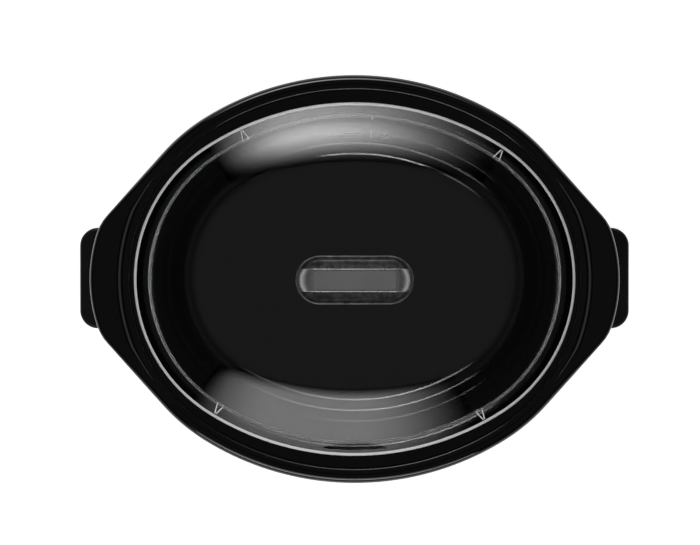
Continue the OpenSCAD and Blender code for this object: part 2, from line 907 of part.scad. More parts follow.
module return_lead() {
    rise_x = -24;
    rise_y = 123.5;
    tab_z = band_low_z + 4;
    tab_y = mouth[1] + band_out(tab_z) + 0.2 - rise_x * rise_x / (2 * side_radius(mouth));
    color("royalblue")
        lead([[0, terminal_y, lead_z], [0, rise_y, lead_z], [rise_x, rise_y, lead_z],
            [rise_x, rise_y, tab_z], [rise_x, tab_y, tab_z]], lead_radius);
}

// ---- Nodes ----

base_pan();
foot(-foot_x, -foot_y);  // foot_front_left
foot(foot_x, -foot_y);  // foot_front_right
foot(-foot_x, foot_y);  // foot_rear_left
foot(foot_x, foot_y);  // foot_rear_right
base_screws();
housing();
top_ring();
heater_pan();
heater_band();
band_clamp();
clamp_screw();
heat_shield();
center_stud();
center_washer();
center_nut();
thermal_fuse();
fuse_clip();
carrying_handle(1);  // left_handle
carrying_handle(0);  // right_handle
handle_trim(1);  // left_handle_trim
handle_trim(0);  // right_handle_trim
handle_screws(1);  // left_handle_screws
handle_screws(0);  // right_handle_screws
control_panel();
position_marks();
panel_rivets();
switch_body();
switch_nut();
lamp_lens();
lamp_body();
cord_gland();
gland_nut();
terminal_block();
terminal_screws();
switch_lead();
lamp_lead();
return_lead();
crock();
lid_glass();
handle_gasket();
handle_dish();
handle_bar();
handle_inlay();
lid_screws();
lid_washers();
knob();
knob_pointer();
switch_shaft();
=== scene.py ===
import json
import math

import bmesh
import bpy
from mathutils import Matrix, Vector


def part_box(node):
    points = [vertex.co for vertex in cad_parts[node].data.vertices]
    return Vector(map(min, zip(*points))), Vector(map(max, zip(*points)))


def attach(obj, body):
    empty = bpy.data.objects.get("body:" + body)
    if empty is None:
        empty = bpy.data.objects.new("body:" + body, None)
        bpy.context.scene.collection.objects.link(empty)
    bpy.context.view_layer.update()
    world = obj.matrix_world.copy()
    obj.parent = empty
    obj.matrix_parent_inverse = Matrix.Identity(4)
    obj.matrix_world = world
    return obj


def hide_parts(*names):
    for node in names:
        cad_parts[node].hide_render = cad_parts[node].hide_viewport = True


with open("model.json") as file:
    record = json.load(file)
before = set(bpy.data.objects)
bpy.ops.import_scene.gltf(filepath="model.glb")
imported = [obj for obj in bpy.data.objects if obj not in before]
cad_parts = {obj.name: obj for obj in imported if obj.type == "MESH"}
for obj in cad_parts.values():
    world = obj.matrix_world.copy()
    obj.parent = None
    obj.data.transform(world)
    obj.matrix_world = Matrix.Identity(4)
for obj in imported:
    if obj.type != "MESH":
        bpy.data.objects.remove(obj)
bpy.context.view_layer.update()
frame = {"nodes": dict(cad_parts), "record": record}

MM = 0.001

# ---- Camera: straight above the cooker, a touch towards the back ----

CAMERA_PLACE = (-0.0033, 0.022, 1.585)
CAMERA_TILT = math.radians(-0.7)
CAMERA_LENS = 101.4
SENSOR_WIDTH = 36


def make_camera():
    data = bpy.data.cameras.new("camera")
    data.lens = CAMERA_LENS
    data.sensor_width = SENSOR_WIDTH
    camera = bpy.data.objects.new("camera", data)
    camera.location = CAMERA_PLACE
    camera.rotation_euler = (CAMERA_TILT, 0, 0)
    bpy.context.scene.collection.objects.link(camera)
    bpy.context.scene.camera = camera


make_camera()

# ---- Sizes in millimetres, angles in radians unless a comment says degrees ----

# A difference that counts as none, in metres or radians
TINY = 1e-6

# Half length and half depth of each oval
RIM_OVAL = (171, 145.5)
MOUTH_OVAL = (148.5, 119)
GLASS_OVAL = (157.5, 126)
# How far the centres of an oval's end arcs and side arcs are from its middle, for each millimetre
# that its half length is over its half depth
END_SHIFT = 1.4
SIDE_SHIFT = 2.25
BLEND_TURN = math.atan2(SIDE_SHIFT, END_SHIFT)

# Heights of the crock, its wall and its bends
RIM_TOP = 185
LEDGE = 178
FLANGE = 167
CROCK_FLOOR = 52
CROCK_FOOT = 42
CROCK_WALL = 6.6
DRAFT = math.radians(5.5)
FLOOR_RADIUS = 8
OUTER_RADIUS = 18
STEP_INSET = 10.7
FOOT_OFFSET = 5.5
FOOT_WIDTH = 8
FOOT_RECESS = 2

# Rim: its edges' radii, where its top starts to fall towards an ear, how far the fall runs out in the
# middle of one, how far its points step back away from one, and the ends of its flat underside
INNER_EDGE = 1.2
OUTER_EDGE = 5
EAR_EDGE = 3.5
UNDER_EDGE = 4
FALL_START = -6.5
FALL_RUN = 6
FALL_BACK = 0.5
FALL_STEPS = 5
UNDERSIDE = (-5, -8)

# Lifting ears: the circles of the tip and of the corners, the flank's angle at the centre of the rim's
# end arc, the drop of the top, and the reach at which an ear has its full drop
EAR_TIP_X = 81
EAR_TIP_RADIUS = 108
EAR_CORNER = (153.1, 24.0)
EAR_CORNER_RADIUS = 32
EAR_FLANK = math.radians(42)
EAR_DROP = 3
EAR_GROWN = 9

# Bead round the crock's floor: how far inside the mouth it is, its height, and the foot, flank and top of
# its outline as distances from its middle and heights over the floor
BEAD_INSET = 22.9
BEAD_HEIGHT = 0.765
BEAD_FOOT = [(1.8, 0), (1.65, 0.03)]
BEAD_FLANK = ((1.6, 0.05), (0.4, BEAD_HEIGHT - 0.03))
BEAD_TOP = [(0.3, BEAD_HEIGHT), (0.1, BEAD_HEIGHT)]
# Shares along a straight flank at which it has points
FLANK_SHARES = (0, 0.1, 0.5, 0.9, 1)

# Heights at which the crock's inner wall has points
WALL_HEIGHTS = (62, 100, 140)

# Fill marks: each line's lower edge, left and right end, and each numeral with the height of its foot
FILL_LINES = ((144, -23.5, 3.7), (74, -19, 3.7))
FILL_NUMERALS = (("1", 133), ("1/2", 64))
FILL_LINE_HEIGHT = 6
FILL_LINE_STEPS = 12
FILL_NUMERAL_LEFT = 9.5
FILL_NUMERAL_SIZE = 13
FILL_NUMERAL_STRETCH = 2.8
FILL_STAND_OFF = 0.12

# Lid's glass: the dome starts at DOME_EDGE inside its edge and ends at a flat oval, whose end arcs have
# the radius DOME_FLAT
GLASS_THICKNESS = 4
EDGE_RADIUS = 1.33
DOME_RISE = 23
DOME_EDGE = 4.5
DOME_FLAT = 10
DOME_STEPS = 18
SKIRT_DEPTH = 4
SKIRT_MIDDLE = 3
# Notches of the skirt: the sides of X and Y that each is on, and its turn in degrees from the X axis at the
# centre of the mouth's side arc. NOTCH_SPARE is what a notch leaves of the skirt's depth.
NOTCHES = ((-1, 1, 65), (1, 1, 56.5), (-1, -1, 58.5), (1, -1, 61))
NOTCH_WIDTH = 5
NOTCH_REACH = 12
NOTCH_SPARE = 0.2
# Ribs on the glass: how far inside a notch's middle they start and outside it they end, half the gap
# where they end, and how far inside the glass's edge the dome is as high as their start
RIB_START = 0.5
RIB_END = 7.5
RIB_HALF_GAP = 0.5
RIB_INSET = 11.5
# Half a rib's thickness, the radius of its edges, and how far its middle is above the glass
RIB_HALF = 0.4
RIB_EDGE = 0.25
RIB_PROUD = 0.15

# Lid handle: the dish's length and width, its floor and wall, its bends, and how far in its section runs
GRIP_LENGTH = 82.5
GRIP_WIDTH = 34
DISH_FLOOR = 3.5
DISH_WALL = 1.8
DISH_BEND = 3.4
DISH_FOOT = 1.2
DISH_LIP = 0.8
DISH_MIDDLE = 12
# The bar over it, which is BAR_INSET shorter at each end. Past the middle BAR_FLAT it starts to follow the
# dish's round ends, and does so in full at BAR_FOLLOW inside the dish's ends.
BAR_WIDTH = 16
BAR_INSET = 1
BAR_SHOULDER = 13
BAR_LEG = 12
BAR_THICKNESS = 6
BAR_BEND = 6
BAR_FLAT = 50
BAR_FOLLOW = 3
BAR_EDGE = 0.5
BAR_SLICES = 10
# The plate on the bar, which is PLATE_GAP shorter at each end than the place for it
PLATE_PROUD = 0.3
PLATE_GAP = 0.6
PLATE_CORNER = 2.4
PLATE_MARGIN = 0.3

# Carrying handles: how far inside the rim they start, their edges and the finger hollow under them
HANDLE_SPAN = 410
HANDLE_WIDTH = 78
HANDLE_CORNER = 15
HANDLE_ROOT = 12
HANDLE_EDGE = 1.6
HANDLE_MARGIN = 0.5
HOLLOW_WALL = 7
HOLLOW_TAPER = 0.4
HOLLOW_DEPTH = 12
TRIM_WIDTH = 2.2
TRIM_ROOT = 9

# Dial: the knob's height, the numerals round it with the turn of each in degrees, and a numeral's middle
KNOB_HEIGHT = 59
DIAL_NUMERALS = (("0", 180), ("1", 138), ("2", 42), ("3", 0))
NUMERAL_RADIUS = 25.5
NUMERAL_SIZE = 5.5
NUMERAL_MIDDLE = (1.6, 2)
NUMERAL_STAND_OFF = 0.08
# How far before the panel the search for its surface starts
PANEL_SEARCH = 20


# ---- Mesh helpers ----


def arc(x, y, radius, start, end, steps):
    """Points along an arc, angles in degrees."""
    angles = [math.radians(start + (end - start) * i / steps) for i in range(steps + 1)]
    return [(x + radius * math.cos(a), y + radius * math.sin(a)) for a in angles]


def flank(start, end):
    """Points along a straight flank, close to both its ends, so that its shading stays flat."""
    (d, z), (last_d, last_z) = start, end
    return [(d + (last_d - d) * t, z + (last_z - z) * t) for t in FLANK_SHARES]


def oval_arcs(oval):
    """Centre distances and radii of an oval's end and side arcs, from its half length and half depth."""
    longer = oval[0] - oval[1]
    c, e = END_SHIFT * longer, SIDE_SHIFT * longer
    return c, e, oval[0] - c, oval[1] + e


def oval_place(co, drawn_on):
    """Tells where round an oval a point is: on an end or a side, on which one, and at what turn."""
    c, e, _, _ = (v * MM for v in oval_arcs(drawn_on))
    side = 1 if co.x > 0 else -1
    turn_x = math.atan2(co.y, side * co.x - c)
    if abs(turn_x) <= BLEND_TURN + TINY:
        return "end", side, turn_x
    back = 1 if co.y > 0 else -1
    return "side", back, math.atan2(co.x, back * co.y + e)


def oval_point(place, oval, d, z):
    """The point at distance d millimetres outside an oval and at height z, at such a place."""
    c, e, end_radius, side_radius = oval_arcs(oval)
    kind, side, turned = place
    if kind == "end":
        out = end_radius + d
        return Vector((side * (c + out * math.cos(turned)), out * math.sin(turned), z)) * MM
    out = side_radius + d
    return Vector((out * math.sin(turned), side * (out * math.cos(turned) - e), z)) * MM


def section_line(bm, section, place, closed):
    """Draws a section of (outwards, up) points, where place turns one into a point, and numbers its rows."""
    row = bm.verts.layers.int.new("row")
    verts = [bm.verts.new(place(d, z)) for d, z in section]
    pairs = list(zip(verts, verts[1:]))
    if closed:
        pairs.append((verts[-1], verts[0]))
    for i, v in enumerate(verts):
        v[row] = i
    return verts + [bm.edges.new(p) for p in pairs]


def turn(bm, geom, centre, angle, steps):
    """Spins vertices and edges about an upright axis at a centre in metres, and returns those at the end."""
    spun = bmesh.ops.spin(bm, geom=geom, cent=(centre[0], centre[1], 0), axis=(0, 0, 1),
                          angle=angle, steps=steps, use_merge=False, use_duplicate=False)
    return spun["geom_last"]


def slide(bm, geom, offset):
    """Extrudes edges straight by an offset in metres, and returns the vertices and edges at the end."""
    edges = [g for g in geom if isinstance(g, bmesh.types.BMEdge)]
    out = bmesh.ops.extrude_edge_only(bm, edges=edges)["geom"]
    verts = [g for g in out if isinstance(g, bmesh.types.BMVert)]
    bmesh.ops.translate(bm, verts=verts, vec=offset)
    last = set(verts)
    return verts + [g for g in out if isinstance(g, bmesh.types.BMEdge) and set(g.verts) <= last]


def sweep_oval(bm, oval, section, end_steps=64, side_steps=40):
    """Takes an open section of (outwards, up) millimetres round an oval."""
    c, e, end_radius, _ = (v * MM for v in oval_arcs(oval))
    facing = Vector((math.cos(BLEND_TURN), -math.sin(BLEND_TURN), 0))

    def place(d, z):
        return Vector((c, 0, z * MM)) + facing * (end_radius + d * MM)

    geom = section_line(bm, section, place, False)
    ends, sides = 2 * BLEND_TURN, math.pi - 2 * BLEND_TURN
    geom = turn(bm, geom, (c, 0), ends, end_steps)
    geom = turn(bm, geom, (0, -e), sides, side_steps)
    geom = turn(bm, geom, (-c, 0), ends, end_steps)
    turn(bm, geom, (0, e), sides, side_steps)
    bmesh.ops.remove_doubles(bm, verts=bm.verts, dist=TINY)


def sweep_rows(bm, oval, rows, end_steps=64, side_steps=40):
    """Sweeps a section of (oval, outwards, up) round one oval, then lets each row follow its own."""
    sweep_oval(bm, oval, [(d, z) for _, d, z in rows], end_steps, side_steps)
    row = bm.verts.layers.int["row"]
    for v in bm.verts:
        own, d, z = rows[v[row]]
        if own != oval:
            v.co = oval_point(oval_place(v.co, oval), own, d, z)


def sweep_stadium(bm, length, width, section, end_steps=28):
    """Takes an open section of (outwards, up) millimetres round a stadium."""
    radius = width / 2 * MM
    half = (length - width) / 2 * MM

    def place(d, z):
        return Vector((half, -radius - d * MM, z * MM))

    geom = section_line(bm, section, place, False)
    geom = turn(bm, geom, (half, 0), math.pi, end_steps)
    geom = slide(bm, geom, (-2 * half, 0, 0))
    geom = turn(bm, geom, (-half, 0), math.pi, end_steps)
    slide(bm, geom, (2 * half, 0, 0))
    bmesh.ops.remove_doubles(bm, verts=bm.verts, dist=TINY)


def on_height(edge_or_face, z):
    """Whether all of an edge or a face is at height z, in metres."""
    return all(abs(v.co.z - z) < TINY for v in edge_or_face.verts)


def is_upright(edge):
    return abs(edge.verts[0].co.z - edge.verts[1].co.z) > TINY


def close_holes(bm):
    bmesh.ops.holes_fill(bm, edges=[e for e in bm.edges if e.is_boundary], sides=0)


def box_of(bm, low, high):
    """Adds a box between two corners in millimetres and returns its vertices."""
    size = [(b - a) * MM for a, b in zip(low, high)]
    middle = [(a + b) / 2 * MM for a, b in zip(low, high)]
    made = bmesh.ops.create_cube(bm, size=1)["verts"]
    bmesh.ops.scale(bm, verts=made, vec=size)
    bmesh.ops.translate(bm, verts=made, vec=middle)
    return made


def round_edges(bm, edges, radius_mm, segments):
    bmesh.ops.bevel(bm, geom=edges, offset=radius_mm * MM, offset_type="OFFSET", affect="EDGES",
                    segments=segments, profile=0.5, material=-1)


def keep_flat(bm, faces, margin_mm):
    """Insets flat faces, so that the shading of their rounded edges stops at a margin."""
    bmesh.ops.inset_individual(bm, faces=faces, thickness=margin_mm * MM)


def finish_piece(bm, name, body, materials, replaces=(), sharp=40):
    """Makes a mesh an object that rides on a body, smooth but for edges above an angle in degrees."""
    bmesh.ops.recalc_face_normals(bm, faces=bm.faces)
    for face in bm.faces:
        face.smooth = True
    for edge in bm.edges:
        edge.smooth = not (len(edge.link_faces) == 2 and edge.calc_face_angle(0) > math.radians(sharp))
    mesh = bpy.data.meshes.new(name)
    bm.to_mesh(mesh)
    bm.free()
    for material in materials:
        mesh.materials.append(material)
    piece = bpy.data.objects.new(name, mesh)
    bpy.context.scene.collection.objects.link(piece)
    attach(piece, body)
    if replaces:
        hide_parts(*replaces)
    return piece


# ---- Materials ----

# The values of a noise that count as its lowest and highest
NOISE_ENDS = (0.3, 0.7)
RELIEF_STRENGTH = 0.5


def new_material(name):
    material = bpy.data.materials.new(name)
    material.use_nodes = True
    tree = material.node_tree
    return material, tree, tree.nodes["Principled BSDF"]


def object_noise(tree, scale, stretch=(1, 1, 1), detail=3.0):
    place = tree.nodes.new("ShaderNodeTexCoord")
    mapping = tree.nodes.new("ShaderNodeMapping")
    mapping.inputs["Scale"].default_value = stretch
    noise = tree.nodes.new("ShaderNodeTexNoise")
    noise.inputs["Scale"].default_value = scale
    noise.inputs["Detail"].default_value = detail
    tree.links.new(place.outputs["Object"], mapping.inputs["Vector"])
    tree.links.new(mapping.outputs["Vector"], noise.inputs["Vector"])
    return noise.outputs["Fac"]


def ramp(tree, source, ends, values, soft=True):
    """Turns the values of source between two ends into values between two others, softly or evenly."""
    node = tree.nodes.new("ShaderNodeMapRange")
    node.interpolation_type = "SMOOTHSTEP" if soft else "LINEAR"
    node.inputs["From Min"].default_value, node.inputs["From Max"].default_value = ends
    node.inputs["To Min"].default_value, node.inputs["To Max"].default_value = values
    tree.links.new(source, node.inputs["Value"])
    return node.outputs["Result"]


def combine(tree, operation, first, second):
    """Puts a value together with another value or a number."""
    node = tree.nodes.new("ShaderNodeMath")
    node.operation = operation
    tree.links.new(first, node.inputs[0])
    if isinstance(second, float):
        node.inputs[1].default_value = second
    else:
        tree.links.new(second, node.inputs[1])
    return node.outputs["Value"]


def spread(tree, source, low, high):
    """Turns a noise into a value between low and high."""
    return ramp(tree, source, NOISE_ENDS, (low, high), soft=False)


def two_tone(tree, source, first, second):
    node = tree.nodes.new("ShaderNodeMix")
    node.data_type = "RGBA"
    node.inputs["A"].default_value = (*first, 1)
    node.inputs["B"].default_value = (*second, 1)
    tree.links.new(spread(tree, source, 0, 1), node.inputs["Factor"])
    return node.outputs["Result"]


def relief(tree, source, height_mm, shader):
    node = tree.nodes.new("ShaderNodeBump")
    node.inputs["Strength"].default_value = RELIEF_STRENGTH
    node.inputs["Distance"].default_value = height_mm * MM
    tree.links.new(source, node.inputs["Height"])
    tree.links.new(node.outputs["Normal"], shader.inputs["Normal"])


def finish_material(name, first, second, rough, grain, metallic=0.0, stretch=(1, 1, 1), bump_mm=0.02,
                    tone_scale=30, shine=0.5, transmission=0.0):
    """A surface of two close tones, with a grain of so many per metre in its roughness and relief."""
    material, tree, shader = new_material(name)
    shader.inputs["Metallic"].default_value = metallic
    shader.inputs["Specular IOR Level"].default_value = shine
    shader.inputs["Transmission Weight"].default_value = transmission
    tone = object_noise(tree, tone_scale, stretch)
    fine = object_noise(tree, grain, stretch)
    tree.links.new(two_tone(tree, tone, first, second), shader.inputs["Base Color"])
    tree.links.new(spread(tree, fine, *rough), shader.inputs["Roughness"])
    relief(tree, fine, bump_mm, shader)
    return material


def clear_glass():
    material, tree, shader = new_material("clear_glass")
    shader.inputs["Transmission Weight"].default_value = 1.0
    shader.inputs["IOR"].default_value = 1.5
    tone = object_noise(tree, 12)
    tree.links.new(two_tone(tree, tone, (0.97, 0.985, 0.98), (1.0, 1.0, 1.0)), shader.inputs["Base Color"])
    tree.links.new(spread(tree, tone, 0.0, 0.02), shader.inputs["Roughness"])
    return material


def lead_sleeve(name, colour):
    lighter = tuple(min(1, 1.3 * c + 0.01) for c in colour)
    return finish_material(name, colour, lighter, (0.4, 0.55), 800, bump_mm=0.01)


def grey(level):
    return level, level, 1.02 * level


MATERIALS = {
    "glazed_stoneware": finish_material("black_glaze", grey(0.0008), grey(0.0016), (0.03, 0.055), 220,
                                        bump_mm=0.001),
    "tempered_glass": clear_glass(),
    "grip_metal": finish_material("satin_metal", grey(0.38), grey(0.42), (0.26, 0.3), 300, metallic=0.8,
                                  bump_mm=0.0005),
    "inlay_metal": finish_material("plate_metal", grey(0.2), grey(0.23), (0.44, 0.5), 300, metallic=0.3,
                                   bump_mm=0.0005),
    "dish_plastic": finish_material("dish_satin", grey(0.06), grey(0.21), (0.34, 0.46), 420, metallic=0.45,
                                    bump_mm=0.03, tone_scale=210),
    "silicone": finish_material("foot_rubber", grey(0.02), grey(0.035), (0.7, 0.85), 900, bump_mm=0.05),
    "black_plastic": finish_material("black_plastic", grey(0.003), grey(0.006), (0.4, 0.5), 1500, shine=0.2),
    "knob_plastic": finish_material("knob_plastic", grey(0.012), grey(0.018), (0.22, 0.32), 1200,
                                    bump_mm=0.01),
    "housing_steel": finish_material("brushed_housing", grey(0.5), grey(0.58), (0.22, 0.36), 60,
                                     metallic=1.0, stretch=(1, 1, 40), bump_mm=0.01, tone_scale=25),
    "bright_trim": finish_material("chrome_trim", grey(0.86), grey(0.9), (0.12, 0.18), 90, metallic=1.0,
                                   bump_mm=0.001),
    "pan_aluminium": finish_material("rolled_aluminium", grey(0.6), grey(0.7), (0.3, 0.42), 200,
                                     metallic=1.0, stretch=(1, 8, 1), bump_mm=0.01),
    "band_wrap": finish_material("foil_jacket", (0.5, 0.47, 0.4), (0.62, 0.58, 0.5), (0.3, 0.5), 260,
                                 metallic=1.0, bump_mm=0.25),
    "fastener_steel": finish_material("zinc_plate", (0.5, 0.5, 0.49), (0.62, 0.62, 0.6), (0.25, 0.4), 600,
                                      metallic=1.0, bump_mm=0.01),
    "white_marks": finish_material("white_print", grey(0.88), grey(0.94), (0.4, 0.5), 900, bump_mm=0.01),
    "switch_plastic": finish_material("switch_plastic", (0.55, 0.52, 0.4), (0.64, 0.6, 0.47), (0.45, 0.6),
                                      700),
    "lens_amber": finish_material("amber_lens", (0.75, 0.2, 0.02), (0.85, 0.27, 0.03), (0.1, 0.2), 400,
                                  bump_mm=0.01, transmission=0.5),
    "brass": finish_material("plain_brass", (0.66, 0.5, 0.22), (0.75, 0.6, 0.3), (0.22, 0.34), 500,
                             metallic=1.0, bump_mm=0.01),
    "terminal_ceramic": finish_material("bare_ceramic", (0.74, 0.72, 0.64), (0.84, 0.82, 0.74), (0.6, 0.75),
                                        600, bump_mm=0.03),
    "brown_lead": lead_sleeve("brown_sleeve", (0.16, 0.07, 0.03)),
    "red_lead": lead_sleeve("red_sleeve", (0.45, 0.03, 0.02)),
    "blue_lead": lead_sleeve("blue_sleeve", (0.03, 0.08, 0.38)),
}

GROUND_GLASS = finish_material("ground_glass", grey(0.93), grey(0.98), (0.3, 0.4), 900, bump_mm=0.005,
                               transmission=0.1)

for part in frame["record"]["subparts"]:
    cad_node = frame["nodes"][part["node"]]
    cad_node.data.materials.clear()
    cad_node.data.materials.append(MATERIALS[part["material_slot"]])


# ---- Crock ----


def ear_reach(angle):
    """How far a lifting ear stands out of the rim's end arc, seen from that arc's centre."""
    c, _, end_radius, _ = oval_arcs(RIM_OVAL)
    ray = Vector((math.cos(angle), math.sin(abs(angle))))

    def to_circle(x, y, radius):
        along = Vector((x - c, y)).dot(ray)
        aside = (Vector((x - c, y)) - along * ray).length
        return along + math.sqrt(max(0, radius * radius - aside * aside))

    blend = math.atan2(EAR_CORNER[1], EAR_CORNER[0] - EAR_TIP_X)
    tip_end = Vector((EAR_TIP_X - c, 0)) + EAR_TIP_RADIUS * Vector((math.cos(blend), math.sin(blend)))
    shoulder = Vector((EAR_CORNER[0] - c, EAR_CORNER[1]))
    shoulder += EAR_CORNER_RADIUS * Vector((math.cos(EAR_FLANK), math.sin(EAR_FLANK)))
    aim = abs(angle)
    if aim < math.atan2(tip_end.y, tip_end.x):
        return to_circle(EAR_TIP_X, 0, EAR_TIP_RADIUS) - end_radius
    if aim < math.atan2(shoulder.y, shoulder.x):
        return to_circle(*EAR_CORNER, EAR_CORNER_RADIUS) - end_radius
    if aim < EAR_FLANK:
        return end_radius / math.cos(EAR_FLANK - aim) - end_radius
    return 0


def rim_section(reach):
    """The crock's rim from the step inside it, over the top, to the flange's underside."""
    grown = min(1, reach / EAR_GROWN)
    drop = EAR_DROP * grown
    edge = OUTER_EDGE + (EAR_EDGE - OUTER_EDGE) * grown
    run = FALL_RUN * grown - FALL_BACK
    fall = []
    for i in range(1, FALL_STEPS + 1):
        t = i / FALL_STEPS
        fall.append((FALL_START + run * t, RIM_TOP - drop * t * t * (3 - 2 * t)))
    return ([(-STEP_INSET, LEDGE), (-STEP_INSET, RIM_TOP - 1.6)]
            + arc(-STEP_INSET + INNER_EDGE, RIM_TOP - INNER_EDGE, INNER_EDGE, 160, 90, 4)
            + [(FALL_START - 1, RIM_TOP)] + fall
            + arc(reach - edge, RIM_TOP - drop - edge, edge, 90, 0, 7)
            + arc(reach - UNDER_EDGE, FLANGE + UNDER_EDGE, UNDER_EDGE, 0, -90, 5)
            + [(d, FLANGE) for d in UNDERSIDE])


def wall_at(d, z):
    """Where a wall that leans with the crock's, and is at d at the ledge, stands at height z."""
    return d - (LEDGE - z) * math.tan(DRAFT)


def bend_centre(d, z, radius):
    """Centre of a bend between such a wall and a floor at height z."""
    return wall_at(d, z + radius - radius * math.sin(DRAFT)) - radius * math.cos(DRAFT), z + radius


def inner_section():
    """The crock's inside, from the middle of the floor over its bead and up the wall to the ledge."""
    lean = math.degrees(DRAFT)
    half_bead = BEAD_FOOT + flank(*BEAD_FLANK) + BEAD_TOP
    floor = [(-BEAD_INSET - 4, CROCK_FLOOR)]
    floor += [(-BEAD_INSET - d, CROCK_FLOOR + up) for d, up in half_bead]
    floor += [(-BEAD_INSET + d, CROCK_FLOOR + up) for d, up in half_bead[::-1]]
    bend = arc(*bend_centre(0, CROCK_FLOOR, FLOOR_RADIUS), FLOOR_RADIUS, -88, -lean, 8)
    wall = [(wall_at(0, z), z) for z in WALL_HEIGHTS]
    lip = arc(-1.5, LEDGE - 2.2, 1.6, -lean, 50, 4) + [(0.6, LEDGE - 0.3), (1.6, LEDGE)]
    return floor + bend + wall + lip


def outer_section():
    """The crock's outside, from under the flange down to the foot ring and the recess inside it."""
    x, z = bend_centre(CROCK_WALL, CROCK_FOOT, OUTER_RADIUS)
    foot = x + FOOT_OFFSET
    recess = CROCK_FOOT + FOOT_RECESS
    return ([(wall_at(CROCK_WALL, FLANGE) + 1.2, FLANGE), (wall_at(CROCK_WALL, FLANGE - 2), FLANGE - 2),
             (wall_at(CROCK_WALL, 120), 120)]
            + arc(x, z, OUTER_RADIUS, -math.degrees(DRAFT), -70, 6)
            + [(foot, CROCK_FOOT), (foot - FOOT_WIDTH, CROCK_FOOT), (foot - FOOT_WIDTH - 1, recess),
               (foot - FOOT_WIDTH - 4, recess)])


def crock():
    """One section swept round, inside, rim and outside, with the ears then drawn out of the rim."""
    inner, rim, outer = inner_section(), rim_section(0), outer_section()
    rows = ([(MOUTH_OVAL, d, z) for d, z in inner] + [(RIM_OVAL, d, z) for d, z in rim]
            + [(MOUTH_OVAL, d, z) for d, z in outer])
    bm = bmesh.new()
    sweep_rows(bm, RIM_OVAL, rows)
    row = bm.verts.layers.int["row"]
    for v in bm.verts:
        rank = v[row] - len(inner)
        if 0 <= rank < len(rim):
            place = oval_place(v.co, RIM_OVAL)
            reach = ear_reach(place[2]) if place[0] == "end" else 0
            if reach > 0:
                v.co = oval_point(place, RIM_OVAL, *rim_section(reach)[rank])
    close_holes(bm)
    finish_piece(bm, "crock_glazed", "crock", [MATERIALS["glazed_stoneware"]], ["crock"])


def add_numeral(bm, words, size, place):
    """Adds flat numerals of a size in millimetres, each point put where place says."""
    curve = bpy.data.curves.new("numeral", "FONT")
    curve.body = words
    curve.size = size * MM
    writing = bpy.data.objects.new("numeral", curve)
    bpy.context.scene.collection.objects.link(writing)
    bpy.context.view_layer.update()
    flat = bpy.data.meshes.new_from_object(writing.evaluated_get(bpy.context.evaluated_depsgraph_get()))
    bpy.data.objects.remove(writing)
    letters = bmesh.new()
    letters.from_mesh(flat)
    for v in letters.verts:
        v.co = place(v.co.x / MM, v.co.y / MM)
    letters.to_mesh(flat)
    letters.free()
    bm.from_mesh(flat)


def dial_numerals():
    """Plain numerals beside the knob's four positions, on the curved panel."""
    panel = frame["nodes"]["control_panel"]
    before_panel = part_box("control_panel")[0].y - PANEL_SEARCH * MM

    def on_panel(x, z):
        start = Vector((x * MM, before_panel, z * MM))
        _, spot, _, _ = panel.ray_cast(start, Vector((0, 1, 0)))
        return spot - Vector((0, NUMERAL_STAND_OFF * MM, 0))

    bm = bmesh.new()
    for words, degrees in DIAL_NUMERALS:
        angle = math.radians(degrees)
        x = NUMERAL_RADIUS * math.cos(angle) - NUMERAL_MIDDLE[0]
        z = KNOB_HEIGHT + NUMERAL_RADIUS * math.sin(angle) - NUMERAL_MIDDLE[1]
        add_numeral(bm, words, NUMERAL_SIZE, lambda u, v, x=x, z=z: on_panel(x + u, z + v))
    finish_piece(bm, "dial_numerals", "base", [MATERIALS["white_marks"]])


def fill_marks():
    """Two printed lines with plain numerals on the back of the inner wall."""
    _, e, _, side_radius = oval_arcs(MOUTH_OVAL)

    def on_wall(x, z):
        radius = side_radius + wall_at(0, z) - FILL_STAND_OFF
        return Vector((x, math.sqrt(radius * radius - x * x) - e, z)) * MM

    def numeral_point(x, y, foot):
        return on_wall(FILL_NUMERAL_LEFT + x, foot + FILL_NUMERAL_STRETCH * y)

    bm = bmesh.new()
    for height, left, right in FILL_LINES:
        step = (right - left) / FILL_LINE_STEPS
        lower = [bm.verts.new(on_wall(left + step * i, height)) for i in range(FILL_LINE_STEPS + 1)]
        edges = [bm.edges.new(pair) for pair in zip(lower, lower[1:])]
        out = bmesh.ops.extrude_edge_only(bm, edges=edges)["geom"]
        for v in out:
            if isinstance(v, bmesh.types.BMVert):
                v.co = on_wall(v.co.x / MM, height + FILL_LINE_HEIGHT)
    for words, foot in FILL_NUMERALS:
        add_numeral(bm, words, FILL_NUMERAL_SIZE, lambda x, y, foot=foot: numeral_point(x, y, foot))
    finish_piece(bm, "fill_marks", "crock", [MATERIALS["white_marks"]])


# ---- Lid ----

DOME_REACH = oval_arcs(GLASS_OVAL)[2] - DOME_EDGE - DOME_FLAT


def dome_height(d):
    """Height of the glass's top at distance d inside its edge."""
    s = (-d - DOME_EDGE) / DOME_REACH
    return LEDGE + GLASS_THICKNESS + DOME_RISE * (2 * s - s * s)


def notch_place(notch):
    """Middle of a notch of the skirt, and its outward direction, in millimetres."""
    side_x, side_y, degrees = notch
    _, e, _, side_radius = oval_arcs(MOUTH_OVAL)
    angle = math.radians(degrees)
    out = Vector((side_x * math.cos(angle), side_y * math.sin(angle)))
    return Vector((0, -side_y * e)) + (side_radius - SKIRT_MIDDLE) * out, out


def glass_top():
    """The glass's top from the dome's foot to its flat middle."""
    down = [-DOME_EDGE - DOME_REACH * i / DOME_STEPS for i in range(DOME_STEPS + 1)]
    return [(d, dome_height(d)) for d in down]


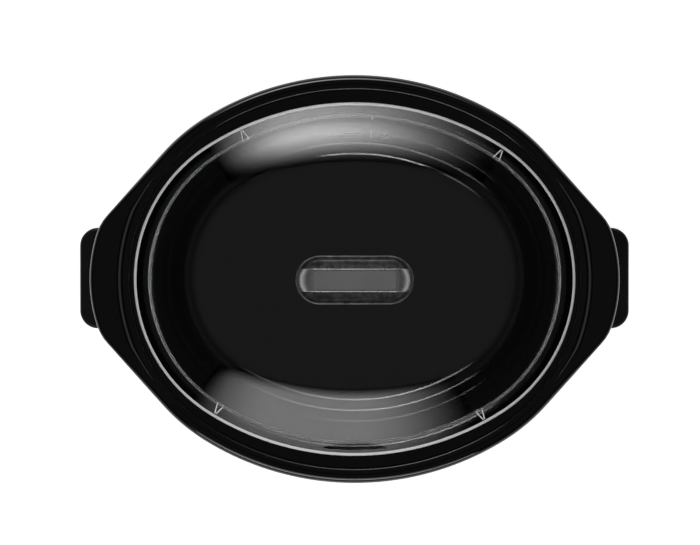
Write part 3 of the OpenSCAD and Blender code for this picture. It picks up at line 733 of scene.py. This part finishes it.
def glass_edge():
    """The glass's slanting flange outside the dome and its rounded edge, down to the ledge."""
    fall = (GLASS_THICKNESS - 2 * EDGE_RADIUS) / (DOME_EDGE - EDGE_RADIUS)
    slant = [(d, LEDGE + GLASS_THICKNESS - fall * (d + DOME_EDGE)) for d in (-3.9, -2.6, -2.1)]
    rounded = arc(-EDGE_RADIUS, LEDGE + EDGE_RADIUS, EDGE_RADIUS, 75, -90, 10)
    return slant[:-1], slant[-1:] + rounded


def skirt_section():
    """The locating skirt, from the ledge round its foot to the dome's underside."""
    foot = LEDGE - SKIRT_DEPTH
    return [(-2.3, LEDGE), (-2.4, foot + 0.5), (-2.6, foot + 0.1), (-2.9, foot), (-3.3, foot),
            (-3.6, foot + 0.1), (-3.8, foot + 0.5), (-4.3, LEDGE + 3.5)]


def cut_notches(bm, rows):
    """Lifts the skirt's rows almost to the ledge at each notch."""
    row = bm.verts.layers.int["row"]
    skirt = [v for v in bm.verts if v[row] in rows]
    for notch in NOTCHES:
        middle, out = notch_place(notch)
        along = Vector((-out.y, out.x))
        for v in skirt:
            off = v.co.xy / MM - middle
            if abs(off.dot(along)) < NOTCH_WIDTH / 2 and abs(off.dot(out)) < NOTCH_REACH:
                v.co.z = max(v.co.z, (LEDGE - NOTCH_SPARE) * MM)


def lid_glass():
    """The dome with its edge over the ledge, and the skirt, which follows the mouth."""
    top = glass_top()
    slant, edge = glass_edge()
    skirt = skirt_section()
    under = [(d, z - GLASS_THICKNESS) for d, z in top[2:]]
    outside = top[::-1] + slant + edge
    rows = ([(GLASS_OVAL, d, z) for d, z in outside] + [(MOUTH_OVAL, d, z) for d, z in skirt]
            + [(GLASS_OVAL, d, z) for d, z in under])
    bm = bmesh.new()
    sweep_rows(bm, GLASS_OVAL, rows, end_steps=96, side_steps=96)
    close_holes(bm)
    first_skirt = len(outside)
    cut_notches(bm, range(first_skirt, first_skirt + len(skirt)))
    # The glass's edge and the skirt's foot are ground
    row = bm.verts.layers.int["row"]
    edge_rows = range(first_skirt - len(edge), first_skirt)
    foot_rows = range(first_skirt + 2, first_skirt + 6)
    for face in bm.faces:
        ranks = [v[row] for v in face.verts]
        if any(all(r in ground for r in ranks) for ground in (edge_rows, foot_rows)):
            face.material_index = 1
    finish_piece(bm, "lid_glass_clear", "lid", [MATERIALS["tempered_glass"], GROUND_GLASS],
                 ["lid_glass"], sharp=30)


def notch_ribs():
    """Two short ground ridges on the glass at each notch, which meet near its edge."""
    bm = bmesh.new()
    for notch in NOTCHES:
        middle, out = notch_place(notch)
        along = Vector((-out.y, out.x))
        for lean in (-1, 1):
            start = middle + along * (lean * NOTCH_WIDTH / 2) - out * RIB_START
            end = middle + along * (lean * RIB_HALF_GAP) + out * RIB_END
            high = Vector((*start, dome_height(-RIB_INSET) + RIB_PROUD)) * MM
            low = Vector((*end, LEDGE + GLASS_THICKNESS + RIB_PROUD)) * MM
            made = box_of(bm, (0, -RIB_HALF, -RIB_HALF), (1, RIB_HALF, RIB_HALF))
            run = low - high
            bmesh.ops.scale(bm, verts=made, vec=(run.length / MM, 1, 1))
            turned = run.to_track_quat("X", "Z").to_matrix()
            bmesh.ops.rotate(bm, verts=made, cent=(0, 0, 0), matrix=turned)
            bmesh.ops.translate(bm, verts=made, vec=high)
    round_edges(bm, bm.edges[:], RIB_EDGE, 3)
    finish_piece(bm, "lid_notch_ribs", "lid", [GROUND_GLASS])


def handle_dish():
    low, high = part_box("handle_dish")
    base, top = low.z / MM, high.z / MM
    floor = base + DISH_FLOOR
    bend_z = floor + DISH_BEND
    section = ([(-DISH_MIDDLE, base), (-DISH_FOOT, base)]
               + arc(-DISH_FOOT, base + DISH_FOOT, DISH_FOOT, -90, 0, 3)
               + arc(-DISH_LIP, top - DISH_LIP, DISH_LIP, 0, 180, 6)
               + [(-DISH_WALL, bend_z)]
               + arc(-DISH_WALL - DISH_BEND, bend_z, DISH_BEND, 0, -90, 6)[1:]
               + [(-DISH_MIDDLE, floor)])
    bm = bmesh.new()
    sweep_stadium(bm, GRIP_LENGTH, GRIP_WIDTH, section)
    close_holes(bm)
    finish_piece(bm, "handle_dish_satin", "lid", [MATERIALS["dish_plastic"]],
                 ["handle_dish"])


def bar_outline(top, low):
    """The bar's side outline: two legs and a flat top with rounded shoulders."""
    leg = GRIP_LENGTH / 2 - BAR_INSET
    shoulder = leg - BAR_SHOULDER
    inner = leg - BAR_LEG
    bend = inner - BAR_BEND
    bend_z = top - BAR_THICKNESS - BAR_BEND
    return ([(-leg, low)] + arc(-shoulder, top - BAR_SHOULDER, BAR_SHOULDER, 180, 90, 12)
            + arc(shoulder, top - BAR_SHOULDER, BAR_SHOULDER, 90, 0, 12)
            + [(leg, low), (inner, low)] + arc(bend, bend_z, BAR_BEND, 0, 90, 6)
            + arc(-bend, bend_z, BAR_BEND, 90, 180, 6) + [(-inner, low)])


def handle_bar():
    low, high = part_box("handle_bar")
    half = BAR_WIDTH / 2 * MM
    bm = bmesh.new()
    outline = bar_outline(high.z / MM - PLATE_PROUD, low.z / MM)
    loop = [bm.verts.new((x * MM, -half, z * MM)) for x, z in outline]
    geom = loop + [bm.edges.new(pair) for pair in zip(loop, loop[1:] + loop[:1])]
    for _ in range(BAR_SLICES):
        geom = slide(bm, geom, (0, 2 * half / BAR_SLICES, 0))
    close_holes(bm)
    # The legs' ends follow the dish's rounded ends
    round_end = GRIP_WIDTH / 2 * MM
    flat = BAR_FLAT / 2
    follow_run = GRIP_LENGTH / 2 - BAR_FOLLOW - flat
    for v in bm.verts:
        fall = round_end - math.sqrt(round_end * round_end - v.co.y * v.co.y)
        share = min(1, max(0, (abs(v.co.x) / MM - flat) / follow_run))
        v.co.x -= math.copysign(fall * share, v.co.x)
    rims = [e for e in bm.edges if all(abs(abs(v.co.y) - half) < TINY for v in e.verts)]
    round_edges(bm, rims, BAR_EDGE, 4)
    finish_piece(bm, "handle_bar_satin", "lid", [MATERIALS["grip_metal"]], ["handle_bar"])


def handle_inlay():
    low, high = (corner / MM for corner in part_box("handle_inlay"))
    bm = bmesh.new()
    box_of(bm, (low.x + PLATE_GAP, low.y, low.z), (high.x - PLATE_GAP, high.y, high.z))
    round_edges(bm, [e for e in bm.edges if is_upright(e)], PLATE_CORNER, 6)
    keep_flat(bm, [f for f in bm.faces if f.normal.z > 0.9], PLATE_MARGIN)
    finish_piece(bm, "handle_plate", "lid", [MATERIALS["inlay_metal"]], ["handle_inlay"])


# ---- Carrying handles ----


def carrying_handle(name, side):
    """A carrying handle, made on the right and mirrored where side is negative."""
    low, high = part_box(name)
    inner = (RIM_OVAL[0] - HANDLE_ROOT) * MM
    outer = max(abs(low.x), abs(high.x))
    bm = bmesh.new()
    box_of(bm, (inner / MM, low.y / MM, low.z / MM), (outer / MM, high.y / MM, high.z / MM))
    corners = [e for e in bm.edges if is_upright(e) and e.verts[0].co.x > inner + TINY]
    round_edges(bm, corners, HANDLE_CORNER - TRIM_WIDTH, 12)
    rims = [e for e in bm.edges if on_height(e, high.z) and max(v.co.x for v in e.verts) > inner + TINY]
    round_edges(bm, rims, HANDLE_EDGE, 4)
    keep_flat(bm, [f for f in bm.faces if on_height(f, high.z)], HANDLE_MARGIN)
    # Finger hollow, open below
    underside = [f for f in bm.faces if on_height(f, low.z)]
    bmesh.ops.inset_individual(bm, faces=underside, thickness=HOLLOW_WALL * MM)
    bmesh.ops.inset_individual(bm, faces=underside, thickness=HOLLOW_TAPER * MM, depth=-HOLLOW_DEPTH * MM)
    if side < 0:
        bmesh.ops.scale(bm, verts=bm.verts, vec=(-1, 1, 1))
    finish_piece(bm, name + "_grip", "base", [MATERIALS["black_plastic"]], [name])


def trim_section(bottom, top):
    """The trim band's outline, with its upper outer side cut back to a slant."""
    band = TRIM_WIDTH
    return ([(-band, bottom + 0.4), (-band + 0.4, bottom), (-0.6, bottom), (0, bottom + 0.6)]
            + flank((-band + 2.1, top - 2.2), (-band + 0.5, top - 0.1))
            + [(-band + 0.35, top), (-band, top - 0.3)])


def handle_trim(name, side):
    """The band round a carrying handle's three outer sides, mirrored where side is negative."""
    low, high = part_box(name)
    half = HANDLE_WIDTH / 2
    inner = RIM_OVAL[0] - TRIM_ROOT
    corner_x = HANDLE_SPAN / 2 - HANDLE_CORNER
    corner_y = half - HANDLE_CORNER
    bm = bmesh.new()

    def place(d, z):
        return Vector((inner, -half - d, z)) * MM

    geom = section_line(bm, trim_section(low.z / MM, high.z / MM), place, True)
    geom = slide(bm, geom, Vector((corner_x - inner, 0, 0)) * MM)
    geom = turn(bm, geom, (corner_x * MM, -corner_y * MM), math.pi / 2, 12)
    geom = slide(bm, geom, Vector((0, 2 * corner_y, 0)) * MM)
    geom = turn(bm, geom, (corner_x * MM, corner_y * MM), math.pi / 2, 12)
    slide(bm, geom, Vector((inner - corner_x, 0, 0)) * MM)
    bmesh.ops.remove_doubles(bm, verts=bm.verts, dist=TINY)
    close_holes(bm)
    if side < 0:
        bmesh.ops.scale(bm, verts=bm.verts, vec=(-1, 1, 1))
    finish_piece(bm, name + "_silver", "base", [MATERIALS["bright_trim"]], [name])


# ---- Floor, light and world, in metres ----

FLOOR_SIZE = 12
FLOOR_TONE = 0.9
FLOOR_GLOW = 0.75
LIGHT_AIM = Vector((0, 0, 0.2))
# Strength of the sky by how high a ray points: a band at the horizon and a small cap overhead
BAND_ENDS = (0.15, 0.45)
BAND_LEVELS = (0.45, 0.0)
CAP_ENDS = (0.77, 0.84)
CAP_LEVELS = (0.02, 0.085)


def stage_mesh(name, bm, material):
    mesh = bpy.data.meshes.new(name)
    bm.to_mesh(mesh)
    bm.free()
    mesh.materials.append(material)
    thing = bpy.data.objects.new(name, mesh)
    bpy.context.scene.collection.objects.link(thing)
    return thing


def make_floor():
    """A pale floor, which glows a little for the camera, reflections and what is seen through glass."""
    bm = bmesh.new()
    bmesh.ops.create_grid(bm, x_segments=1, y_segments=1, size=FLOOR_SIZE / 2)
    material, tree, shader = new_material("floor_white")
    shader.inputs["Base Color"].default_value = (FLOOR_TONE, FLOOR_TONE, FLOOR_TONE, 1)
    shader.inputs["Roughness"].default_value = 0.9
    shader.inputs["Specular IOR Level"].default_value = 0.0
    glow = tree.nodes.new("ShaderNodeEmission")
    glow.inputs["Strength"].default_value = FLOOR_GLOW
    path = tree.nodes.new("ShaderNodeLightPath")
    seen = combine(tree, "MAXIMUM", path.outputs["Is Camera Ray"], path.outputs["Is Glossy Ray"])
    seen = combine(tree, "MAXIMUM", seen, path.outputs["Is Transmission Ray"])
    add = tree.nodes.new("ShaderNodeAddShader")
    mixed = tree.nodes.new("ShaderNodeMixShader")
    tree.links.new(shader.outputs["BSDF"], add.inputs[0])
    tree.links.new(glow.outputs["Emission"], add.inputs[1])
    tree.links.new(seen, mixed.inputs["Fac"])
    tree.links.new(shader.outputs["BSDF"], mixed.inputs[1])
    tree.links.new(add.outputs["Shader"], mixed.inputs[2])
    tree.links.new(mixed.outputs["Shader"], tree.nodes["Material Output"].inputs["Surface"])
    stage_mesh("floor", bm, material)


def fade(tree, source, full, gone, sharpness=1.0):
    """One at a place called full and nought at one called gone, in metres, with a soft change between."""
    ends, values = ((full, gone), (1.0, 0.0)) if full < gone else ((gone, full), (0.0, 1.0))
    return combine(tree, "POWER", ramp(tree, source, ends, values), sharpness)


def soft_panel(name, y, left, right, top, bottom, peak, sharpness):
    """A glowing upright panel at y. left, right and top say where its glow is full and where it is gone."""
    bm = bmesh.new()
    made = bmesh.ops.create_grid(bm, x_segments=1, y_segments=1, size=0.5)["verts"]
    bmesh.ops.rotate(bm, verts=made, cent=(0, 0, 0), matrix=Matrix.Rotation(math.pi / 2, 3, "X"))
    bmesh.ops.scale(bm, verts=made, vec=(right[1] - left[1], 1, top[1] - bottom))
    bmesh.ops.translate(bm, verts=made, vec=((left[1] + right[1]) / 2, y, (top[1] + bottom) / 2))
    material, tree, shader = new_material(name)
    place = tree.nodes.new("ShaderNodeTexCoord")
    split = tree.nodes.new("ShaderNodeSeparateXYZ")
    tree.links.new(place.outputs["Object"], split.inputs["Vector"])
    level = fade(tree, split.outputs["X"], *left)
    for axis, ends in (("X", right), ("Z", top)):
        level = combine(tree, "MULTIPLY", level, fade(tree, split.outputs[axis], *ends, sharpness))
    glow = tree.nodes.new("ShaderNodeEmission")
    tree.links.new(combine(tree, "MULTIPLY", level, peak), glow.inputs["Strength"])
    tree.links.new(glow.outputs["Emission"], tree.nodes["Material Output"].inputs["Surface"])
    tree.nodes.remove(shader)
    panel = stage_mesh(name, bm, material)
    panel.visible_camera = False


def side_light(name, place, size, watts):
    data = bpy.data.lights.new(name, "AREA")
    data.shape = "RECTANGLE"
    data.size, data.size_y = size
    data.energy = watts
    lamp = bpy.data.objects.new(name, data)
    lamp.location = place
    lamp.rotation_euler = (LIGHT_AIM - Vector(place)).to_track_quat("-Z", "Y").to_euler()
    lamp.visible_camera = False
    bpy.context.scene.collection.objects.link(lamp)


def make_lights():
    soft_panel("back_panel", y=1.2, left=(-0.34, -0.9), right=(-0.3, 0.95), top=(1.15, 1.85), bottom=0.85,
               peak=7.2, sharpness=1.4)
    soft_panel("front_panel", y=-1.2, left=(-0.47, -1.1), right=(0.02, 0.68), top=(1.62, 1.96), bottom=1.0,
               peak=2.1, sharpness=1.0)
    side_light("front_low_light", place=(-0.1, -1.2, 0.865), size=(1.5, 0.14), watts=6.5)


def make_world():
    """White for the camera, and a dim sky for the light on the cooker and its reflections."""
    world = bpy.data.worlds.new("studio")
    bpy.context.scene.world = world
    world.use_nodes = True
    tree = world.node_tree
    back = tree.nodes["Background"]
    back.inputs["Color"].default_value = (1, 1, 1, 1)
    path = tree.nodes.new("ShaderNodeLightPath")
    place = tree.nodes.new("ShaderNodeTexCoord")
    split = tree.nodes.new("ShaderNodeSeparateXYZ")
    tree.links.new(place.outputs["Generated"], split.inputs["Vector"])
    band = ramp(tree, split.outputs["Z"], BAND_ENDS, BAND_LEVELS)
    cap = ramp(tree, split.outputs["Z"], CAP_ENDS, CAP_LEVELS)
    mixed = tree.nodes.new("ShaderNodeMix")
    tree.links.new(path.outputs["Is Camera Ray"], mixed.inputs["Factor"])
    tree.links.new(combine(tree, "ADD", band, cap), mixed.inputs["A"])
    mixed.inputs["B"].default_value = 1.0
    tree.links.new(mixed.outputs["Result"], back.inputs["Strength"])


crock()
fill_marks()
dial_numerals()
lid_glass()
notch_ribs()
handle_dish()
handle_bar()
handle_inlay()
carrying_handle("right_handle", 1)
carrying_handle("left_handle", -1)
handle_trim("right_handle_trim", 1)
handle_trim("left_handle_trim", -1)
make_floor()
make_lights()
make_world()

bpy.context.scene.view_settings.view_transform = "Standard"
